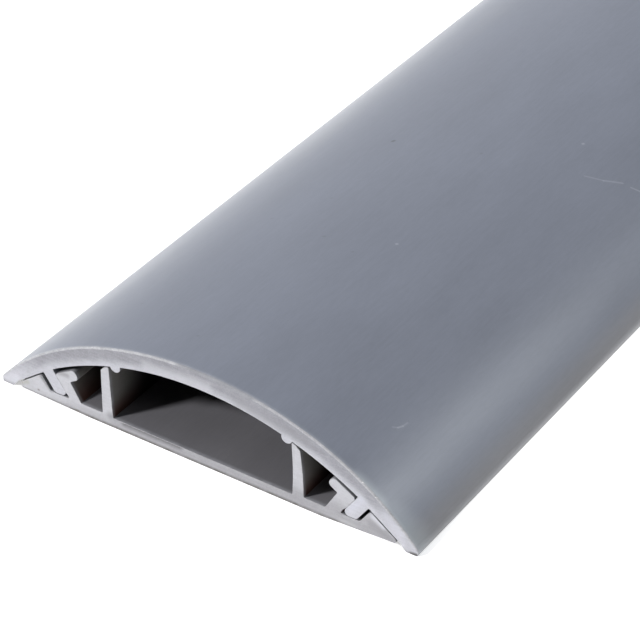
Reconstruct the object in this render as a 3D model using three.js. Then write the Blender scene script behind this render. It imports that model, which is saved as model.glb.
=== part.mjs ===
import * as THREE from "three";

// Floor cable trunking: a domed cover that snaps over a flat base with three compartments.
// Both pieces are extrusions of rigid PVC, so each is one section drawn out along Y.
// Millimetres, +Z up, floor at z = 0, cut ends at plus and minus half the length.

// Length sold
const length = 1000;

// Cover, outer surface
const width = 75;
const height = 17;
const crownRadius = 57;
const crownReach = 18.7; // from the middle to where the tighter curve of the flank begins
const edgeHeight = 1.1; // upright outer edge that ends the flank

// Cover, walls and feet
const crownWall = 3.1;
const flankWall = 2.85; // at the snap leg
const flangeWall = 2.2; // where the flange turns down to the foot
const footWidth = 2;
const footRise = 1.1; // how far in from the foot's inner corner that turn lies
const footRadius = 0.3;
const flangeRadius = 0.6;

// Snap legs under the cover
const legInset = 10.1; // from the cover's outer edge to the inner face of the leg at its root
const legThickness = 2.2;
const toeRadius = 0.7;
const toeClearance = 0.12; // over the base's plate

// Beads under the cover that keep the ribs from folding inwards
const beadRadius = 0.95;
const beadClearance = 0.3;

// Plate of the base
const middleWall = 1.75; // plate under the middle compartment
const plateWall = 2; // plate outside the ribs
const flatReach = 21; // from the middle to where the underside starts to lift off the floor
const tipInset = 3.7; // from the cover's outer edge to the tip of the base
const tipRadius = 0.25;
const rootRadius = 0.25; // inner corners where the upright walls leave the plate

// Ribs either side of the middle compartment
const middleWidth = 32.4; // clear between the ribs at their roots
const ribRoot = 1.95;
const ribTop = 1.5;
const ribDraw = 0.35; // how far the inner face leans outwards by its top
const ribClearance = 0.2; // under the cover
const ribChamfer = 0.75;
const ribRadius = 0.15;

// Hooks inside the snap legs, each an inclined stem with a lip along the cover's underside
const stemTurn = THREE.MathUtils.degToRad(4); // how much steeper its inner face stands
const lipThickness = 1.8;
const lipRadius = 0.75;
const stemRadius = 0.25;

// Wedges outside the snap legs
const legClearance = 0.6;
const wedgeClearance = 0.2; // under the flange of the cover
const wedgeRadius = 0.6;

// The two sides of the base as cooling left them: how far the edge lifts off the floor, how far
// the wedge stands outwards of its place, the gap between the hook and the snap leg, the hook's
// stem at its root, how long its lip is and how far under the cover, how far the rib leans
// inwards by its top, and how far its middle bows outwards
const leftSide = {
  lift: 0.35,
  flare: 0.2,
  grip: 0.1,
  stem: 1.88,
  lip: 4.15,
  under: 0.8,
  lean: 0,
  bow: 0,
};
const rightSide = {
  lift: 0.75,
  flare: -0.15,
  grip: 0.15,
  stem: 2.13,
  lip: 4.4,
  under: 0.6,
  lean: 0.45,
  bow: 0.2,
};
const bowRadius = 60;

// How far the straight pieces of a rounded stretch may stand off its true round, the most that
// one of them may turn, and the most that one may measure
const chordError = 0.008;
const widestStep = THREE.MathUtils.degToRad(45);
const longestPiece = 0.75;

// Points of an outline nearer than this are one point
const samePoint = 1e-4;

const grey = new THREE.MeshStandardMaterial({ color: "#8d9199", roughness: 0.42, metalness: 0 });
const paleGrey = new THREE.MeshStandardMaterial({ color: "#8b8d92", roughness: 0.5, metalness: 0 });

const point = (x, z) => new THREE.Vector2(x, z);
const heading = (angle) => new THREE.Vector2(Math.cos(angle), Math.sin(angle));

// The upper point of a circle at a distance from the middle
function above(x, centre, radius) {
  return point(x, centre.y + Math.sqrt(radius ** 2 - (x - centre.x) ** 2));
}

// Where a line that starts inside a circle leaves it
function leaves(start, direction, centre, radius) {
  const from = start.clone().sub(centre);
  const along = from.dot(direction);
  const reach = Math.sqrt(along * along - from.lengthSq() + radius * radius) - along;
  return start.clone().addScaledVector(direction, reach);
}

// Where a line meets a second line
function crosses(start, direction, other, otherDirection) {
  const reach = other.clone().sub(start).cross(otherDirection) / direction.cross(otherDirection);
  return start.clone().addScaledVector(direction, reach);
}

// Where a line reaches a height
function atHeight(start, direction, z) {
  return crosses(start, direction, point(0, z), point(1, 0));
}

// Adds a point to an outline, unless the outline has just reached it
function reach(outline, at) {
  const last = outline.at(-1);
  if (!last || last.distanceTo(at) > samePoint) outline.push(at);
}

// Adds an arc to an outline in as many straight pieces as its radius needs
function sweep(outline, centre, radius, start, end, clockwise) {
  const arc = new THREE.ArcCurve(centre.x, centre.y, radius, start, end, clockwise);
  const turn = arc.getLength() / radius;
  const closeStep = 2 * Math.acos(Math.max(1 - chordError / radius, 0));
  const pieces = Math.ceil(turn / Math.min(closeStep, widestStep, longestPiece / radius));
  arc.getPoints(pieces).forEach((at) => reach(outline, at));
}

// Adds corners to an outline, each rounded to its radius as far as its shorter side has room.
// The last corner stays sharp, and one that turns nothing is passed over.
function trace(outline, corners) {
  corners.forEach(({ at, radius = 0 }, index) => {
    const next = corners[index + 1];
    if (!radius || !next) {
      reach(outline, at);
      return;
    }
    const back = (corners[index - 1]?.at ?? outline.at(-1)).clone().sub(at);
    const on = next.at.clone().sub(at);
    const room = Math.min(back.length(), on.length()) / 2;
    back.normalize();
    on.normalize();
    if (back.distanceTo(on.clone().negate()) < samePoint) return;
    const half = Math.acos(THREE.MathUtils.clamp(back.dot(on), -1, 1)) / 2;
    const cut = Math.min(radius / Math.tan(half), room);
    const bend = cut * Math.tan(half);
    const centre = back.clone().add(on).normalize().multiplyScalar(bend / Math.sin(half)).add(at);
    const from = at.clone().addScaledVector(back, cut).sub(centre);
    const to = at.clone().addScaledVector(on, cut).sub(centre);
    sweep(outline, centre, bend, from.angle(), to.angle(), from.cross(to) < 0);
  });
}

// Surface lines of the cover, taken on its right half

// The flank's arc runs on smoothly from the crown's and ends at the outer edge
const crownCentre = point(0, height - crownRadius);
const crownTurn = Math.asin(crownReach / crownRadius);
const shoulder = heading(Math.PI / 2 - crownTurn).multiplyScalar(crownRadius).add(crownCentre);
const edge = point(width / 2, edgeHeight);
const toCrownCentre = heading(-Math.PI / 2 - crownTurn);
const fall = shoulder.clone().sub(edge);
const flankRadius = -fall.lengthSq() / (2 * toCrownCentre.dot(fall));
const flankCentre = shoulder.clone().addScaledVector(toCrownCentre, flankRadius);

// The leg stands square to the flank, and the underside is one arc from leg to leg
const legX = width / 2 - legInset;
const legRoot = above(legX, flankCentre, flankRadius - flankWall);
const legUp = legRoot.clone().sub(flankCentre).normalize();
const outwards = point(legUp.y, -legUp.x);
const underTop = height - crownWall;
const underDrop = underTop - legRoot.y;
const underRadius = (underDrop * underDrop + legX * legX) / (2 * underDrop);
const underCentre = point(0, underTop - underRadius);
const toeHeight = plateWall + toeClearance;
const legInner = atHeight(legRoot, legUp, toeHeight);
const legOuterRoot = legRoot.clone().addScaledVector(outwards, legThickness);
const legOuter = atHeight(legOuterRoot, legUp, toeHeight);

// The flange thins from the leg to the foot
const footInner = point(width / 2 - footWidth, 0);
const flangeEnd = above(footInner.x - footRise, flankCentre, flankRadius - flangeWall);

// Bead, beside the top of the rib
const ribInnerTop = middleWidth / 2 + ribDraw;
const beadCentre = above(ribInnerTop - beadClearance - beadRadius, underCentre, underRadius);

// Angle from the underside's centre at which the bead's round meets the underside
const beadHalf = 2 * Math.asin(beadRadius / (2 * underRadius));
const beadTurn = beadCentre.clone().sub(underCentre).angle();

const mirrored = ({ at, radius }) => ({ at: point(-at.x, at.y), radius });

// Section of the cover: over the top from left to right, then back along the underside
function coverSection() {
  const flankTurn = edge.clone().sub(flankCentre).angle();
  const crownStart = Math.PI / 2 - crownTurn;
  const side = [
    { at: point(width / 2, 0), radius: footRadius },
    { at: footInner, radius: footRadius },
    { at: flangeEnd, radius: flangeRadius },
    { at: legOuterRoot, radius: rootRadius },
    { at: legOuter, radius: toeRadius },
    { at: legInner, radius: toeRadius },
    { at: legRoot },
  ];
  const outline = [];
  const flankLeft = point(-flankCentre.x, flankCentre.y);
  sweep(outline, flankLeft, flankRadius, Math.PI - flankTurn, Math.PI - crownStart, true);
  sweep(outline, crownCentre, crownRadius, Math.PI - crownStart, crownStart, true);
  sweep(outline, flankCentre, flankRadius, crownStart, flankTurn, true);
  trace(outline, side);
  for (const turn of [beadTurn, Math.PI - beadTurn]) {
    const seat = heading(turn).multiplyScalar(underRadius).add(underCentre);
    const start = outline.at(-1).clone().sub(underCentre).angle();
    sweep(outline, underCentre, underRadius, start, turn - beadHalf, false);
    const from = outline.at(-1).clone().sub(seat).angle();
    const to = heading(turn + beadHalf).multiplyScalar(underRadius).add(underCentre).sub(seat).angle();
    sweep(outline, seat, beadRadius, from, to, true);
  }
  const last = outline.at(-1).clone().sub(underCentre).angle();
  const end = point(-legRoot.x, legRoot.y).sub(underCentre).angle();
  sweep(outline, underCentre, underRadius, last, end, false);
  trace(outline, [...side.slice(0, -1).reverse().map(mirrored), { at: outline[0] }]);
  outline.pop();
  return outline;
}

// Corners of one half of the base, from its underside round the tip to the middle compartment
function baseHalf({ lift, flare, grip, stem, lip, under, lean, bow }) {
  // Wedge: its top follows the flange, its inner face the leg
  const flangeDown = flangeEnd.clone().sub(legOuterRoot).normalize();
  const flangeOff = point(flangeDown.y, -flangeDown.x).multiplyScalar(wedgeClearance);
  const wedgeTop = legOuterRoot.clone().add(flangeOff);
  const wedgePlace = legOuterRoot.clone().addScaledVector(outwards, legClearance);
  const wedgeInner = wedgePlace.add(point(flare, 0));
  const crest = crosses(wedgeTop, flangeDown, wedgeInner, legUp);
  const tip = crosses(wedgeTop, flangeDown, point(width / 2 - tipInset, 0), point(0, 1));

  // Hook: the stem stands along the leg, thinner towards its top, and the lip runs along the
  // cover's underside
  const stemFoot = legInner.clone().addScaledVector(outwards, -grip);
  const heel = leaves(stemFoot, legUp, underCentre, underRadius - under);
  const lipUp = heel.clone().sub(underCentre).normalize();
  const lipIn = point(-lipUp.y, lipUp.x);
  const lipEnd = heel.clone().addScaledVector(lipIn, lip);
  const lipUnder = lipEnd.clone().addScaledVector(lipUp, -lipThickness);
  const stemInner = stemFoot.clone().addScaledVector(outwards, -stem);
  const innerUp = legUp.clone().rotateAround(point(0, 0), stemTurn);

  // Rib, with its top cut back on the outside
  const ribOuter = middleWidth / 2 + ribRoot;
  const topInner = ribInnerTop - lean;
  const topOuter = topInner + ribTop;
  const ribSeat = (x) => above(x, underCentre, underRadius).add(point(0, -ribClearance));
  const ribCrest = ribSeat(topOuter - ribChamfer);
  const outerRoot = point(ribOuter, plateWall);
  const outerTop = point(topOuter, ribCrest.y - ribChamfer);
  const innerRoot = point(middleWidth / 2, middleWall);
  const innerTop = ribSeat(topInner);
  const bowed = (root, top) => root.clone().lerp(top, 0.5).add(point(bow, 0));

  return [
    { at: point(flatReach, 0) },
    { at: point(tip.x, lift), radius: tipRadius },
    { at: tip, radius: tipRadius },
    { at: crest, radius: wedgeRadius },
    { at: atHeight(wedgeInner, legUp, plateWall), radius: rootRadius },
    { at: atHeight(stemFoot, legUp, plateWall), radius: rootRadius },
    { at: heel, radius: stemRadius },
    { at: lipEnd, radius: lipRadius },
    { at: lipUnder, radius: lipRadius },
    { at: crosses(lipUnder, lipIn, stemInner, innerUp), radius: stemRadius },
    { at: atHeight(stemInner, innerUp, plateWall), radius: rootRadius },
    { at: outerRoot, radius: rootRadius },
    { at: bowed(outerRoot, outerTop), radius: bowRadius },
    { at: outerTop, radius: ribRadius },
    { at: ribCrest, radius: ribRadius },
    { at: innerTop, radius: ribRadius },
    { at: bowed(innerRoot, innerTop), radius: bowRadius },
    { at: innerRoot, radius: rootRadius },
  ];
}

// Section of the base: along the underside from the middle, and back through the compartments
function baseSection() {
  const outline = [point(0, 0)];
  const left = baseHalf(leftSide).reverse().map(mirrored);
  trace(outline, [...baseHalf(rightSide), ...left]);
  return outline;
}

// One piece: its section stood upright and drawn out along Y
function extruded(name, section, material) {
  const shape = new THREE.Shape(section);
  const geometry = new THREE.ExtrudeGeometry(shape, { depth: length, bevelEnabled: false });
  const mesh = new THREE.Mesh(geometry, material);
  mesh.name = name;
  mesh.rotation.x = Math.PI / 2;
  mesh.position.y = length / 2;
  return mesh;
}

const trunking = new THREE.Group();
trunking.name = "cable_trunking";
trunking.add(extruded("cover", coverSection(), grey));
trunking.add(extruded("base", baseSection(), paleGrey));

export default trunking;
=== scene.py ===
import random
from math import ceil, radians

import bmesh
import bpy
from mathutils import Matrix, Vector
from mathutils.bvhtree import BVHTree


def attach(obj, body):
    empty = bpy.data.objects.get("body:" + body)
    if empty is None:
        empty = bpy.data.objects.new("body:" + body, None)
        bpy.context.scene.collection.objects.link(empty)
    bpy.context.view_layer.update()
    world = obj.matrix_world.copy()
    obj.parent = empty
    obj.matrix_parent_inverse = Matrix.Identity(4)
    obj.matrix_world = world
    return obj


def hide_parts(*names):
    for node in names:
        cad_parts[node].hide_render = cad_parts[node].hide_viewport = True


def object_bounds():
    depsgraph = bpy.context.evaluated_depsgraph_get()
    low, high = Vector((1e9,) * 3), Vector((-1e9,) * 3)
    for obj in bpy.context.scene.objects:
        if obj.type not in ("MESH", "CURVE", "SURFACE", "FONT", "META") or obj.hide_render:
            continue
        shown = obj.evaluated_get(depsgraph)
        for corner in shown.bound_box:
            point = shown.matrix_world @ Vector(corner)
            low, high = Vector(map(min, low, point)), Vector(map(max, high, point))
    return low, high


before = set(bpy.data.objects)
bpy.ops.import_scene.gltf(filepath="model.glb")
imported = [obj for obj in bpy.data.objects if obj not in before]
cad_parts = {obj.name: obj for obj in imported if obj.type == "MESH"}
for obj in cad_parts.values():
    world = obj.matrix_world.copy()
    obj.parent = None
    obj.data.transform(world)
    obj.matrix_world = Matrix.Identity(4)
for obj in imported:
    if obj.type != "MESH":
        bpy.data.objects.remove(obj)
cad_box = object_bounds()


# Camera
# The near cut end is seen from its right and from above through a long lens, and the length
# runs out of the picture at the upper right.
MM = 0.001  # metres in a millimetre

camera_place = Vector((179.7, -738.2, 238.1)) * MM
turn_left = radians(33.67)
look_down = radians(35.43)
roll = radians(-0.07)
film_width = 36  # this and the next in millimetres, as the camera takes them
lens_length = 145.5
farthest_seen = 20  # metres

lens = bpy.data.cameras.new("long_lens")
lens.sensor_width = film_width
lens.lens = lens_length
lens.clip_end = farthest_seen
camera = bpy.data.objects.new("camera", lens)
upright = Matrix.Rotation(radians(90) - look_down, 4, "X") @ Matrix.Rotation(roll, 4, "Z")
turned = Matrix.Rotation(turn_left, 4, "Z") @ upright
camera.matrix_world = Matrix.Translation(camera_place) @ turned
bpy.context.scene.collection.objects.link(camera)
bpy.context.scene.camera = camera
bpy.context.scene.view_settings.view_transform = "Standard"


# Floor
# A wide sheet of matt white board, lit from below as a product table is, and more so under the
# stock behind its near end, so that it stays pale to the edges of the picture and only a soft
# shadow falls on it.
def linear(colour):
    """An sRGB hex colour as the linear colour that a shader takes."""
    channels = [int(colour[i:i + 2], 16) / 255 for i in (1, 3, 5)]
    bent = [c / 12.92 if c <= 0.04045 else ((c + 0.055) / 1.055) ** 2.4 for c in channels]
    return (*bent, 1)


def add(material, kind, inputs=(), **settings):
    """Adds a node with its settings, and sets or links its inputs."""
    made = material.node_tree.nodes.new(kind)
    for setting, value in settings.items():
        setattr(made, setting, value)
    for socket, value in dict(inputs).items():
        if isinstance(value, bpy.types.NodeSocket):
            material.node_tree.links.new(value, made.inputs[socket])
        else:
            made.inputs[socket].default_value = value
    return made


def blank(name):
    """A new material with no nodes."""
    material = bpy.data.materials.new(name)
    material.use_nodes = True
    material.node_tree.nodes.clear()
    return material


board_size = 6  # metres
board_colour = "#e9e9e9"
board_roughness = 0.9
board_gloss = 0.2
glow_colour = "#ffffff"
front_glow = 0.22
back_glow = 0.85
glow_run = (-28 * MM, 38 * MM)  # from the near end, where the stronger glow starts and is full
glow_reach = (38 * MM, 62 * MM)  # to each side, where it starts and ends to fade

board = blank("matt_white_board")
place = add(board, "ShaderNodeTexCoord")
spot = add(board, "ShaderNodeSeparateXYZ", {"Vector": place.outputs["Object"]})
behind = add(board, "ShaderNodeMapRange", {
    "Value": spot.outputs["Y"],
    "From Min": cad_box[0].y + glow_run[0],
    "From Max": cad_box[0].y + glow_run[1],
    "To Min": 0.0,
    "To Max": 1.0,
}, interpolation_type="SMOOTHSTEP")
aside = add(board, "ShaderNodeMath", {0: spot.outputs["X"]}, operation="ABSOLUTE")
close = add(board, "ShaderNodeMapRange", {
    "Value": aside.outputs["Value"],
    "From Min": glow_reach[0],
    "From Max": glow_reach[1],
    "To Min": back_glow - front_glow,
    "To Max": 0.0,
}, interpolation_type="SMOOTHSTEP")
glow = add(board, "ShaderNodeMath", {
    0: behind.outputs["Result"],
    1: close.outputs["Result"],
    2: front_glow,
}, operation="MULTIPLY_ADD")
coat = add(board, "ShaderNodeBsdfPrincipled", {
    "Base Color": linear(board_colour),
    "Roughness": board_roughness,
    "Specular IOR Level": board_gloss,
    "Emission Color": linear(glow_colour),
    "Emission Strength": glow.outputs["Value"],
})
add(board, "ShaderNodeOutputMaterial", {"Surface": coat.outputs["BSDF"]})
sheet = bmesh.new()
bmesh.ops.create_grid(sheet, x_segments=1, y_segments=1, size=board_size / 2)
floor_mesh = bpy.data.meshes.new("floor")
sheet.to_mesh(floor_mesh)
sheet.free()
floor_mesh.materials.append(board)
floor = bpy.data.objects.new("floor", floor_mesh)
bpy.context.scene.collection.objects.link(floor)


# Lights
# A room that is white overhead and behind, most so at the left, and dim low in front, a key
# light from the front left that reaches into the dark compartments, and a small softbox at the
# back right that draws the short soft streak on the right flank.
room_colour = "#fbfcff"
room_strength = 0.66
room_dim = 0.03  # share of that strength low in front
room_full_at = 0.5  # how far up and back a way has to point to see the full strength
room_left = 1.2  # share of the strength at the left
room_left_at = -0.7  # how far left a way has to point to see that share
key_from = Vector((-0.502, -0.654, 0.566))
key_strength = 3.35
key_spread = radians(8)
key_distance = 1  # a sun shines alike from anywhere
streak_from = Vector((0.53, 0.655, 0.544))
streak_distance = 450 * MM
streak_size = 98 * MM
streak_power = 0.308
streak_colour = "#f4faff"
streak_seen_at = Vector((30 * MM, cad_box[0].y, 8 * MM))

room = bpy.data.worlds.new("white_room")
room.use_nodes = True
room.node_tree.nodes.clear()
towards = add(room, "ShaderNodeTexCoord")
height = add(room, "ShaderNodeVectorMath", {
    0: towards.outputs["Generated"],
    1: (0, 1, 1),
}, operation="DOT_PRODUCT")
brightness = add(room, "ShaderNodeMapRange", {
    "Value": height.outputs["Value"],
    "From Min": 0.0,
    "From Max": room_full_at,
    "To Min": room_dim * room_strength,
    "To Max": room_strength,
}, interpolation_type="SMOOTHSTEP")
sideways = add(room, "ShaderNodeSeparateXYZ", {"Vector": towards.outputs["Generated"]})
from_left = add(room, "ShaderNodeMapRange", {
    "Value": sideways.outputs["X"],
    "From Min": 0.0,
    "From Max": room_left_at,
    "To Min": 1.0,
    "To Max": room_left,
}, interpolation_type="SMOOTHSTEP")
brightness = add(room, "ShaderNodeMath", {
    0: brightness.outputs["Result"],
    1: from_left.outputs["Result"],
}, operation="MULTIPLY")

# Past the board's edge the room is seen as plain white
seen = add(room, "ShaderNodeLightPath")
brightness = add(room, "ShaderNodeMath", {
    0: brightness.outputs["Value"],
    1: seen.outputs["Is Camera Ray"],
}, operation="MAXIMUM")
walls = add(room, "ShaderNodeBackground", {
    "Color": linear(room_colour),
    "Strength": brightness.outputs["Value"],
})
add(room, "ShaderNodeOutputWorld", {"Surface": walls.outputs["Background"]})
bpy.context.scene.world = room

key = bpy.data.lights.new("key", "SUN")
key.energy = key_strength
key.angle = key_spread
streak = bpy.data.lights.new("streak_softbox", "AREA")
streak.shape = "DISK"
streak.size = streak_size
streak.energy = streak_power
streak.color = linear(streak_colour)[:3]
lights = ((key, key_from, key_distance), (streak, streak_from, streak_distance))
for light, way, distance in lights:
    lamp = bpy.data.objects.new(light.name, light)
    lamp.location = streak_seen_at + way.normalized() * distance
    lamp.rotation_euler = way.to_track_quat("Z", "Y").to_euler()
    bpy.context.scene.collection.objects.link(lamp)


# Base
# The flat plate that is fixed to the floor: one extrusion of rigid grey PVC with two ribs, two
# hooks that the cover's legs grip and a wedge along each edge, sawn square to its length.
half_length = cad_box[1].y / MM
end_on = 0.9  # a face whose normal lies more than this along the length is a cut end


def finished_copy(node, steps, fine):
    """A merged copy of a CAD node's mesh, with its flat faces joined, cut across its length, and
    with no piece of its section longer than a given size."""
    merged_within = 0.002 * MM
    flat_within = radians(0.2)
    level_within = 0.001 * MM

    shape = bmesh.new()
    shape.from_mesh(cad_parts[node].data)
    bmesh.ops.remove_doubles(shape, verts=shape.verts, dist=merged_within)
    bmesh.ops.dissolve_limit(
        shape, angle_limit=flat_within, verts=shape.verts, edges=shape.edges
    )
    ends = [face for face in shape.faces if abs(face.normal.y) > end_on]
    bmesh.ops.delete(shape, geom=ends, context="FACES_ONLY")
    for step in steps:
        everything = shape.verts[:] + shape.edges[:] + shape.faces[:]
        bmesh.ops.bisect_plane(shape, geom=everything, plane_co=(0, step, 0), plane_no=(0, 1, 0))
    across = {}
    for edge in shape.edges:
        a, b = edge.verts
        if abs(a.co.y - b.co.y) < level_within:
            across.setdefault(ceil(edge.calc_length() / fine) - 1, []).append(edge)
    for cuts, edges in across.items():
        if cuts:
            bmesh.ops.subdivide_edges(shape, edges=edges, cuts=cuts)
    rims = [edge for edge in shape.edges if edge.is_boundary]
    bmesh.ops.holes_fill(shape, edges=rims, sides=0)
    bmesh.ops.recalc_face_normals(shape, faces=shape.faces)
    return shape


def worn_edges(shape, cut_material, top_share, other_share):
    """Smooths the faces, gives the cut ends their material, and gives each edge of those ends
    the share of the widest bevel that the saw and handling have worn it to, more along the top
    than elsewhere."""
    sharp_from = radians(50)
    upward = 0.63  # a face whose normal rises more than this is on top

    worn = shape.edges.layers.float.new("bevel_weight_edge")
    for face in shape.faces:
        face.smooth = True
        face.material_index = cut_material if abs(face.normal.y) > end_on else 0
    for edge in shape.edges:
        edge.smooth = edge.calc_face_angle(0) < sharp_from
        normals = [face.normal for face in edge.link_faces]
        if max(abs(normal.y) for normal in normals) < end_on:
            continue
        if min(abs(normal.y) for normal in normals) > end_on:
            continue
        on_top = max(normal.z for normal in normals) > upward
        edge[worn] = top_share if on_top else other_share


def made_piece(name, shape, materials):
    """A finished bmesh as an object in the scene, with its materials."""
    mesh = bpy.data.meshes.new(name)
    shape.to_mesh(mesh)
    shape.free()
    for material in materials:
        mesh.materials.append(material)
    piece = bpy.data.objects.new(name, mesh)
    bpy.context.scene.collection.objects.link(piece)
    return piece


def rounded(piece, widest):
    """Rounds a piece's worn edges, in the material that stands last on it."""
    bevel = piece.modifiers.new("worn_edges", "BEVEL")
    bevel.limit_method = "WEIGHT"
    bevel.width = widest
    bevel.segments = 3
    bevel.profile = 0.5
    bevel.material = len(piece.data.materials) - 1
    bevel.use_clamp_overlap = False
    bevel.harden_normals = True


def marked(material, place, colour, marks):
    """Lays strokes over a colour, each from one place to another with a width and a tone, and
    fading from the share that it covers at its middle to nothing at its rim."""
    for start, end, width, tone, cover in marks:
        begins = Vector(start) * MM
        stroke = Vector(end) * MM - begins
        inside = add(material, "ShaderNodeVectorMath", {0: place, 1: begins}, operation="SUBTRACT")
        share = add(material, "ShaderNodeVectorMath", {
            0: inside.outputs["Vector"],
            1: stroke / stroke.length_squared,
        }, operation="DOT_PRODUCT")
        held = add(material, "ShaderNodeClamp", {"Value": share.outputs["Value"]})
        nearest = add(material, "ShaderNodeVectorMath", {
            0: stroke,
            "Scale": held.outputs["Result"],
        }, operation="SCALE")
        away = add(material, "ShaderNodeVectorMath", {
            0: inside.outputs["Vector"],
            1: nearest.outputs["Vector"],
        }, operation="DISTANCE")
        touched = add(material, "ShaderNodeMapRange", {
            "Value": away.outputs["Value"],
            "From Min": 0.0,
            "From Max": width * MM,
            "To Min": cover,
            "To Max": 0.0,
        }, interpolation_type="SMOOTHSTEP")
        # A colour mix takes its share at 0 and its colours at 6 and 7, and gives them at 2
        colour = add(material, "ShaderNodeMix", {
            0: touched.outputs["Result"],
            6: colour,
            7: linear(tone),
        }, data_type="RGBA").outputs[2]
    return colour


pvc_ior = 1.53
noise_range = (0.3, 0.7)  # nearly all of a noise lies between these


def extruded_pvc(name, colour, lines_deep, roughness, low_dust_and_shade=None, deep=None, marks=()):
    """Rigid PVC as the extrusion die left it: faint drag lines that run the whole length, soft
    clouds where the melt cooled unevenly, a satin gloss, and the small marks of handling. It can
    have a tone low down, given as its tone and the height that it fades out at: dust on the
    cover's feet, and painted warm shade at the foot of the base's walls. It can also have painted
    shade deep inside, given as its tone and the depth from the ends that it is reached at. Sizes
    are in millimetres."""
    # Each pattern by its pitch across and its run along, its detail, and how far it shades the
    # colour each way. The die's lines are a tenth of a millimetre apart and the scuffs no
    # wider, and both are drawn coarser to show.
    patterns = {
        "lines": (0.3, 120, 2, 0.02),
        "clouds": (7, 26, 3, 0.05),
        "scuffs": (0.45, 2.2, 3, 0.03),
    }
    gloss_swing = 0.03
    low_full = 0.3  # share of the low tone's height that it lies thickest up to
    haze_width = 0.9
    haze_patch = 1.4
    haze_strength = 1.1
    haze_tone = "#a2a4aa"
    dust_apart = 5
    dust_radius = 0.13
    dust_missing = 0.45  # share of the places that have no grain
    dust_cover = 0.35
    dust_tone = "#4a4a4c"

    pvc = blank(name)
    place = add(pvc, "ShaderNodeTexCoord").outputs["Object"]
    spot = add(pvc, "ShaderNodeSeparateXYZ", {"Vector": place})
    noises = {}
    shade = None
    for pattern, (across, run, detail, swing) in patterns.items():
        drawn_out = add(pvc, "ShaderNodeVectorMath", {
            0: place,
            1: (1 / (across * MM), 1 / (run * MM), 1 / (across * MM)),
        }, operation="MULTIPLY")
        noises[pattern] = add(pvc, "ShaderNodeTexNoise", {
            "Vector": drawn_out.outputs["Vector"],
            "Scale": 1,
            "Detail": detail,
        }).outputs["Fac"]
        own_shade = add(pvc, "ShaderNodeMapRange", {
            "Value": noises[pattern],
            "From Min": noise_range[0],
            "From Max": noise_range[1],
            "To Min": 1 - swing,
            "To Max": 1 + swing,
        }).outputs["Result"]
        shade = own_shade if shade is None else add(pvc, "ShaderNodeMath", {
            0: shade,
            1: own_shade,
        }, operation="MULTIPLY").outputs["Value"]

    shaded = linear(colour)[:3]
    # A tone low down: dust on the cover's feet, and painted warm shade at the foot of the base's
    # walls
    if low_dust_and_shade:
        low_tone, low_height = low_dust_and_shade
        low_share = add(pvc, "ShaderNodeMapRange", {
            "Value": spot.outputs["Z"],
            "From Min": low_full * low_height * MM,
            "From Max": low_height * MM,
            "To Min": 1.0,
            "To Max": 0.0,
        }, interpolation_type="SMOOTHSTEP")
        shaded = add(pvc, "ShaderNodeMix", {
            0: low_share.outputs["Result"],
            6: linear(colour),
            7: linear(low_tone),
        }, data_type="RGBA").outputs[2]
    shaded = add(pvc, "ShaderNodeVectorMath", {
        0: shaded,
        "Scale": shade,
    }, operation="SCALE").outputs["Vector"]

    from_middle = add(pvc, "ShaderNodeMath", {0: spot.outputs["Y"]}, operation="ABSOLUTE")
    # Painted shade, darkening towards its tone deep inside, away from the cut ends
    if deep:
        deep_tone, depth = deep
        far_in = add(pvc, "ShaderNodeMapRange", {
            "Value": from_middle.outputs["Value"],
            "From Min": (half_length - depth) * MM,
            "From Max": half_length * MM,
            "To Min": 1.0,
            "To Max": 0.0,
        }, interpolation_type="SMOOTHSTEP")
        shaded = add(pvc, "ShaderNodeMix", {
            0: far_in.outputs["Result"],
            6: shaded,
            7: linear(deep_tone),
        }, data_type="RGBA").outputs[2]

    # The saw's heat and the handling whiten the skin unevenly beside the cut ends
    near_cut = add(pvc, "ShaderNodeMapRange", {
        "Value": from_middle.outputs["Value"],
        "From Min": (half_length - haze_width) * MM,
        "From Max": half_length * MM,
        "To Min": 0.0,
        "To Max": haze_strength,
    }, interpolation_type="SMOOTHSTEP")
    uneven = add(pvc, "ShaderNodeTexNoise", {
        "Vector": place,
        "Scale": 1 / (haze_patch * MM),
        "Detail": 2,
    })
    hazed = add(pvc, "ShaderNodeMath", {
        0: near_cut.outputs["Result"],
        1: uneven.outputs["Fac"],
    }, operation="MULTIPLY", use_clamp=True)
    shaded = add(pvc, "ShaderNodeMix", {
        0: hazed.outputs["Value"],
        6: shaded,
        7: linear(haze_tone),
    }, data_type="RGBA").outputs[2]

    # Lone grains of dust, about one in twenty square centimetres
    dust = add(pvc, "ShaderNodeTexVoronoi", {
        "Vector": place,
        "Scale": 1 / (dust_apart * MM),
    })
    lone = add(pvc, "ShaderNodeSeparateColor", {"Color": dust.outputs["Color"]})
    reach = add(pvc, "ShaderNodeMapRange", {
        "Value": lone.outputs["Red"],
        "From Min": dust_missing,
        "From Max": 1.0,
        "To Min": 0.0,
        "To Max": dust_radius / dust_apart,
    })
    grain = add(pvc, "ShaderNodeMath", {
        0: dust.outputs["Distance"],
        1: reach.outputs["Result"],
    }, operation="LESS_THAN")
    speck = add(pvc, "ShaderNodeMath", {
        0: grain.outputs["Value"],
        1: dust_cover,
    }, operation="MULTIPLY")
    shaded = add(pvc, "ShaderNodeMix", {
        0: speck.outputs["Value"],
        6: shaded,
        7: linear(dust_tone),
    }, data_type="RGBA").outputs[2]

    # The marks are placed from the near end and seen from above
    from_end = add(pvc, "ShaderNodeVectorMath", {0: place, 1: (0, half_length * MM, 0)})
    flat = add(pvc, "ShaderNodeVectorMath", {
        0: from_end.outputs["Vector"],
        1: (1, 1, 0),
    }, operation="MULTIPLY")
    shaded = marked(pvc, flat.outputs["Vector"], shaded, marks)

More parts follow.
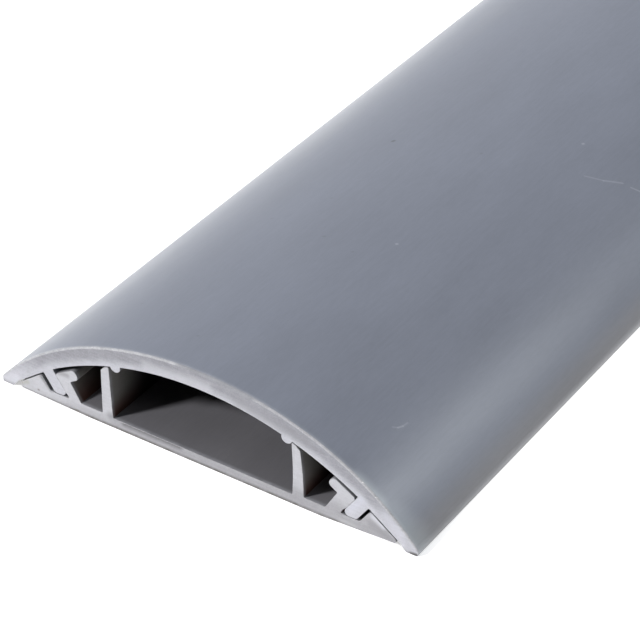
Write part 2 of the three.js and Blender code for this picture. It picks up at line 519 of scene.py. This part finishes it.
    gloss = add(pvc, "ShaderNodeMapRange", {
        "Value": noises["clouds"],
        "From Min": noise_range[0],
        "From Max": noise_range[1],
        "To Min": roughness - gloss_swing,
        "To Max": roughness + gloss_swing,
    })
    raised = add(pvc, "ShaderNodeBump", {
        "Height": noises["lines"],
        "Distance": lines_deep * MM,
        "Strength": 1.0,
    })
    surface = add(pvc, "ShaderNodeBsdfPrincipled", {
        "Base Color": shaded,
        "Roughness": gloss.outputs["Result"],
        "IOR": pvc_ior,
        "Normal": raised.outputs["Normal"],
    })
    add(pvc, "ShaderNodeOutputMaterial", {"Surface": surface.outputs["BSDF"]})
    return pvc


def sawn_pvc(
    name, colour, pale, rough_deep, centre=(0, 0, 0), palest=0, plain=0, foot_pale=0, darker_low=0,
    marks=(),
):
    """PVC as a fine saw left it: paler than the skin and quite matt, mottled where the teeth
    smeared or tore it, with close straight strokes that slant across the face. Round a centre
    line it can be palest at one radius and plain at a second, and also pale at the feet. It can
    be darker along the floor, and the near end can have marks. Sizes are in millimetres."""
    stroke_pitch = 0.35  # a fine saw's strokes, drawn coarser to show
    stroke_run = 5
    stroke_slant = radians(24)
    mottle = 1.1
    grain = 0.22
    torn_range = (1.15, 1.85)  # nearly all of the three noises' sum lies between these
    torn_share = 0.3  # how much paler the tearing makes a face that has its own pale zones
    ring_share = 0.7
    foot_heights = (3.0, 8.0)
    darker_low_heights = (0.15, 0.7)
    darker_low_strength = 1.6
    darker_low_tone = "#45413c"
    roughness = 0.68

    pvc = blank(name)
    place = add(pvc, "ShaderNodeTexCoord").outputs["Object"]
    slanted = add(pvc, "ShaderNodeMapping", {
        "Vector": place,
        "Rotation": (0, stroke_slant, 0),
        "Scale": (1 / (stroke_run * MM), 1 / (stroke_run * MM), 1 / (stroke_pitch * MM)),
    })
    strokes = add(pvc, "ShaderNodeTexNoise", {
        "Vector": slanted.outputs["Vector"],
        "Scale": 1,
        "Detail": 2,
    })
    patches = add(pvc, "ShaderNodeTexNoise", {
        "Vector": place,
        "Scale": 1 / (mottle * MM),
        "Detail": 3,
    })
    grains = add(pvc, "ShaderNodeTexNoise", {
        "Vector": place,
        "Scale": 1 / (grain * MM),
        "Detail": 1,
    })
    torn = patches.outputs["Fac"]
    for noise in (grains, strokes):
        torn = add(pvc, "ShaderNodeMath", {
            0: torn,
            1: noise.outputs["Fac"],
        }, operation="ADD").outputs["Value"]
    paled = add(pvc, "ShaderNodeMapRange", {
        "Value": torn,
        "From Min": torn_range[0],
        "From Max": torn_range[1],
        "To Min": 0.0,
        "To Max": 1.0,
    }).outputs["Result"]
    spot = add(pvc, "ShaderNodeSeparateXYZ", {"Vector": place})
    if palest:
        arm = add(pvc, "ShaderNodeVectorMath", {
            0: place,
            1: Vector(centre) * MM,
        }, operation="SUBTRACT")
        arm = add(pvc, "ShaderNodeVectorMath", {
            0: arm.outputs["Vector"],
            1: (1, 0, 1),
        }, operation="MULTIPLY")
        radius = add(pvc, "ShaderNodeVectorMath", {
            0: arm.outputs["Vector"],
        }, operation="LENGTH")
        ringed = add(pvc, "ShaderNodeMapRange", {
            "Value": radius.outputs["Value"],
            "From Min": plain * MM,
            "From Max": palest * MM,
            "To Min": 0.0,
            "To Max": ring_share,
        }, interpolation_type="SMOOTHSTEP")
        footed = add(pvc, "ShaderNodeMapRange", {
            "Value": spot.outputs["Z"],
            "From Min": foot_heights[0] * MM,
            "From Max": foot_heights[1] * MM,
            "To Min": foot_pale,
            "To Max": 0.0,
        }, interpolation_type="SMOOTHSTEP")
        zoned = add(pvc, "ShaderNodeMath", {
            0: ringed.outputs["Result"],
            1: footed.outputs["Result"],
        }, operation="MAXIMUM")
        paled = add(pvc, "ShaderNodeMath", {
            0: paled,
            1: torn_share,
            2: zoned.outputs["Value"],
        }, operation="MULTIPLY_ADD", use_clamp=True).outputs["Value"]
    tone = add(pvc, "ShaderNodeMix", {
        0: paled,
        6: linear(colour),
        7: linear(pale),
    }, data_type="RGBA")
    # Darker towards the floor
    low = add(pvc, "ShaderNodeMapRange", {
        "Value": spot.outputs["Z"],
        "From Min": darker_low_heights[0] * MM,
        "From Max": darker_low_heights[1] * MM,
        "To Min": darker_low_strength * darker_low,
        "To Max": 0.0,
    })
    darkened_low = add(pvc, "ShaderNodeMath", {
        0: low.outputs["Result"],
        1: patches.outputs["Fac"],
    }, operation="MULTIPLY", use_clamp=True)
    tone = add(pvc, "ShaderNodeMix", {
        0: darkened_low.outputs["Value"],
        6: tone.outputs[2],
        7: linear(darker_low_tone),
    }, data_type="RGBA")
    from_end = add(pvc, "ShaderNodeVectorMath", {0: place, 1: (0, half_length * MM, 0)})
    tone = marked(pvc, from_end.outputs["Vector"], tone.outputs[2], marks)
    raised = add(pvc, "ShaderNodeBump", {
        "Height": torn,
        "Distance": rough_deep * MM,
        "Strength": 1.0,
    })
    surface = add(pvc, "ShaderNodeBsdfPrincipled", {
        "Base Color": tone,
        "Roughness": roughness,
        "IOR": pvc_ior,
        "Normal": raised.outputs["Normal"],
    })
    add(pvc, "ShaderNodeOutputMaterial", {"Surface": surface.outputs["BSDF"]})
    return pvc


# Smears and soil, darker spots along the floor, and painted shade on the left wedge's edge
# beside the slot and on the top of the left hook's lip, by where they lie across and up the
# near end, with their width, tone and cover
base_cut_marks = [
    ((-30.5, 0, 1.2), (-30.4, 0, 1.2), 0.3, "#57443c", 0.7),
    ((-33.9, 0, 1.2), (-32.6, 0, 1.8), 0.7, "#96948a", 0.6),
    # Painted shade along the left wedge's edge beside the slot
    ((-30.1, 0, 4.5), (-28.0, 0, 2.2), 0.7, "#626164", 0.75),
    # Painted shade on the top of the left hook's lip
    ((-26.3, 0, 6.2), (-24.6, 0, 6.3), 0.8, "#7c7b7e", 0.6),
    ((-23.3, 0, 0.3), (-22.9, 0, 0.3), 0.4, "#57524b", 0.7),
    ((-16.6, 0, 2.0), (-14.6, 0, 2.0), 1.3, "#77767a", 0.6),
    ((-14.0, 0, 1.7), (-4.0, 0, 1.8), 1.1, "#525053", 0.8),
    ((-10.8, 0, 0.05), (-5.4, 0, 0.05), 0.35, "#4c4843", 0.6),
    ((7.6, 0, 0.05), (8.1, 0, 0.05), 0.35, "#3f3b36", 0.8),
    ((9.5, 0, 0.05), (10.1, 0, 0.1), 0.45, "#3f3b36", 0.8),
    ((24.6, 0, 0.7), (27.0, 0, 0.7), 0.8, "#c2c2c2", 0.2),
    ((29.8, 0, 2.3), (33.2, 0, 0.9), 1.3, "#7e7d81", 0.5),
    ((30.0, 0, 3.8), (31.7, 0, 2.8), 0.8, "#d3d3dc", 0.5),
]

# Duller and less blue than the cover
base_skin = extruded_pvc("extruded_dull_grey_pvc", "#68676b", lines_deep=0.002, roughness=0.42)

# The walls of the compartments: painted warm shade at their foot, painted near-black shade deep in
base_walls = extruded_pvc(
    "extruded_grey_pvc_painted_shade", "#767471", lines_deep=0.002, roughness=0.5,
    low_dust_and_shade=("#4a2c22", 6), deep=("#0d0b0a", 10),
)

# Matt and pale. Its centre line lies so far below that its rings cross the plate almost level.
base_cut = sawn_pvc(
    "saw_cut_dull_grey_pvc", "#908f93", "#b4b4b9", rough_deep=0.02, centre=(60, 0, -1000),
    palest=1006, plain=1003, darker_low=1, marks=base_cut_marks,
)

# The torn arris again, rougher and a little darker
base_arris = sawn_pvc("saw_torn_dull_grey_pvc", "#8b8a8d", "#adacb0", rough_deep=0.03)

near_steps = [0.6, 1.0, 2.0]  # from each end, where the mesh is cut across
steps = [side * (half_length - near) * MM for side in (-1, 1) for near in near_steps]
fine_piece = 0.75 * MM
base_worn = 0.06 * MM
inner_reach = 28 * MM  # how far to each side the walls of the compartments stand
steep = 0.6  # a face whose normal lies more than this across is a wall

# The cover's legs press the hooks' stems, so here only a hair of the running gap is left
stem_heights = (2.5 * MM, 7.2 * MM)
grip_reach = 0.17 * MM
grip_left = 0.01 * MM
cover_surface = BVHTree.FromBMesh(finished_copy("cover", steps, fine_piece))
base_shape = finished_copy("base", steps, fine_piece)
worn_edges(base_shape, cut_material=2, top_share=1, other_share=1)
# The walls of the compartments take the finish with painted shade
for face in base_shape.faces:
    place = face.calc_center_median()
    if face.material_index == 0 and abs(face.normal.x) > steep and abs(place.x) < inner_reach:
        face.material_index = 1
for vert in base_shape.verts:
    if not stem_heights[0] < vert.co.z < stem_heights[1]:
        continue
    near, _, _, gap = cover_surface.find_nearest(vert.co, grip_reach)
    if near and gap > grip_left:
        vert.co += (near - vert.co) * (1 - grip_left / gap)
base = made_piece("base_profile", base_shape, [base_skin, base_walls, base_cut, base_arris])
rounded(base, base_worn)
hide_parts("base")
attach(base, "root")


# Cover
# The domed lid that snaps over the base: one extrusion of rigid grey PVC, with a foot along each
# edge, two snap legs and two small beads underneath, sawn flush with the base.

# Scratches, a pale curl of swarf, dust, and skin that the saw whitened beside the right foot,
# by where they lie across and from the near end, with their width, tone and cover
handling_marks = [
    ((18.5, 81.3, 0), (21.0, 83.1, 0), 0.26, "#a9adb5", 0.25),
    ((21.0, 83.1, 0), (23.3, 85.6, 0), 0.28, "#a9adb5", 0.3),
    ((24.6, 86.1, 0), (25.9, 86.9, 0), 0.26, "#a9adb5", 0.35),
    ((25.8, 11.6, 0), (26.3, 12.2, 0), 0.2, "#b4b8c0", 0.2),
    ((26.3, 12.2, 0), (26.6, 13.1, 0), 0.22, "#b4b8c0", 0.3),
    ((26.6, 13.1, 0), (26.7, 14.2, 0), 0.2, "#b4b8c0", 0.2),
    ((-11.6, 70.6, 0), (-11.5, 70.8, 0), 0.5, "#3c3e43", 0.7),
    ((-30.4, 64.8, 0), (-30.3, 64.9, 0), 0.4, "#56585e", 0.35),
    ((-4.6, 39.5, 0), (-4.5, 39.7, 0), 0.35, "#4f5157", 0.35),
    ((-16.1, 41.9, 0), (-16.0, 42.0, 0), 0.35, "#56585e", 0.3),
    ((-10.3, 50.3, 0), (-10.2, 50.4, 0), 0.35, "#56585e", 0.3),
    ((1.5, 38.2, 0), (1.6, 38.3, 0), 0.35, "#56585e", 0.3),
    ((3.3, 73.7, 0), (3.4, 73.9, 0), 0.4, "#56585e", 0.3),
    ((-20.4, 13.5, 0), (-20.3, 13.6, 0), 0.35, "#56585e", 0.3),
    ((-5.5, 7.5, 0), (-5.4, 7.6, 0), 0.35, "#56585e", 0.3),
    ((5.8, 44.1, 0), (5.9, 44.2, 0), 0.35, "#b4b8c0", 0.35),
    ((14.3, 88.0, 0), (14.4, 88.2, 0), 0.35, "#b4b8c0", 0.35),
    ((35.5, 0, 0), (37.4, 0.4, 0), 5.5, "#aeb6ba", 0.42),
    ((27.6, 0, 0), (31.0, 0, 0), 2.0, "#aeb6ba", 0.4),
]

# A dark spot on the tip of the right foot, smears, and a painted highlight on the right leg's end,
# by where they lie across and up the near end
cover_cut_marks = [
    ((36.3, 0, 0.15), (37.2, 0, 0.3), 0.5, "#35322e", 0.85),
    ((-36.4, 0, 1.0), (-34.8, 0, 1.9), 1.3, "#cfcfd6", 0.35),
    ((-9.5, 0, 14.3), (1.5, 0, 15.0), 1.6, "#b9b9bf", 0.5),
    ((7.0, 0, 14.4), (19.0, 0, 12.3), 1.7, "#87878c", 0.5),
    # A painted highlight on the end of the right leg
    ((26.2, 0, 3.8), (28.0, 0, 5.9), 1.4, "#c6c8d4", 0.35),
    ((32.0, 0, 5.0), (34.6, 0, 2.8), 1.2, "#c8c8d2", 0.3),
]

# Where the arris of the near end stayed darker
cover_arris_marks = [
    ((-3.0, 0, 17.0), (9.0, 0, 16.4), 2.0, "#75777d", 0.65),
]

# Satin and faintly blue, with a dull bloom of dust along the feet
cover_skin = extruded_pvc(
    "extruded_grey_pvc", "#717682", lines_deep=0.002, roughness=0.35, low_dust_and_shade=("#7e7e81", 4.7),
    marks=handling_marks,
)

# The same plastic inside, painted darker and browner as shade, and painted nearly black deep in
cover_inside = extruded_pvc(
    "extruded_grey_pvc_painted_shade_inside", "#3f3a38", lines_deep=0.002, roughness=0.5, deep=("#14110f", 9)
)

# Matt and paler than the skin, palest along the hollow side of the wall and at the feet
cover_cut = sawn_pvc(
    "saw_cut_grey_pvc", "#828288", "#b6b6bd", rough_deep=0.02, centre=(0, 0, -40), palest=53.9,
    plain=55.6, foot_pale=0.6, darker_low=0.5, marks=cover_cut_marks,
)

# The arris that the saw tore, a pale rough thread round the cut
cover_arris = sawn_pvc(
    "saw_torn_grey_pvc", "#97979b", "#b4b4b8", rough_deep=0.02, marks=cover_arris_marks
)

cover_worn = 0.27 * MM
foot_width = 2.2 * MM  # from each edge, where the skin's finish goes on under the foot
underneath = 0.1  # a face whose normal rises less than this is on the underside
rim_depth = 0.1
rim_upward = 0.5  # a point beside a face that rises more than this is on the upper rim
cover_shape = finished_copy("cover", steps, fine_piece)
worn_edges(cover_shape, cut_material=2, top_share=1, other_share=0.2)
# The underside away from the feet takes the inside finish, with its painted shade
for face in cover_shape.faces:
    if face.material_index == 0 and face.normal.z < underneath:
        on_foot = abs(face.calc_center_median().x) > cad_box[1].x - foot_width
        face.material_index = 0 if on_foot else 1
cover_rim = [
    vert.co.copy() for vert in cover_shape.verts
    if abs(vert.co.y) > (half_length - rim_depth) * MM
    and abs(vert.co.x) < cad_box[1].x - foot_width
    and max(face.normal.z for face in vert.link_faces) > rim_upward
]
cover_finishes = [cover_skin, cover_inside, cover_cut, cover_arris]
cover = made_piece("cover_profile", cover_shape, cover_finishes)
rounded(cover, cover_worn)
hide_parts("cover")
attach(cover, "root")

# Flecks of swarf that still cling to the upper arris of each cut end
fleck_count = 22
fleck_sizes = (0.05 * MM, 0.11 * MM)
fleck_sunk = 0.16 * MM
fleck_spin = 3  # radians
fleck_lean = 0.3
fleck_stretch = (1, 2.2)
fleck_width = 0.6
fleck_thickness = 0.8

# Larger ones on the near end, by their place across and their size
burrs = [(-30.2, 0.13), (-19.6, 0.13), (28.1, 0.17), (30.6, 0.15)]
chance = random.Random(7)
clinging = [
    (chance.choice(cover_rim), chance.uniform(*fleck_sizes)) for _ in range(fleck_count)
]
near_rim = [place for place in cover_rim if place.y < 0]
for across, size in burrs:
    clinging.append((min(near_rim, key=lambda place: abs(place.x - across * MM)), size * MM))
flecks = bmesh.new()
for spot, size in clinging:
    sunk = Vector((0, -fleck_sunk if spot.y > 0 else fleck_sunk, -fleck_sunk))
    spun = Matrix.Rotation(
        chance.uniform(0, fleck_spin), 4, Vector((1, chance.random(), fleck_lean))
    )
    drawn_out = Matrix.Diagonal(
        (chance.uniform(*fleck_stretch), fleck_width, fleck_thickness, 1)
    )
    bmesh.ops.create_icosphere(
        flecks,
        subdivisions=1,
        radius=size,
        matrix=Matrix.Translation(spot + sunk) @ spun @ drawn_out,
    )

# Thin shavings let the light through, so they look nearly white
swarf_pvc = sawn_pvc("torn_pvc_swarf", "#cdccce", "#e4e4e4", rough_deep=0.01)
cover_swarf = made_piece("cover_saw_swarf", flecks, [swarf_pvc])
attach(cover_swarf, "root")
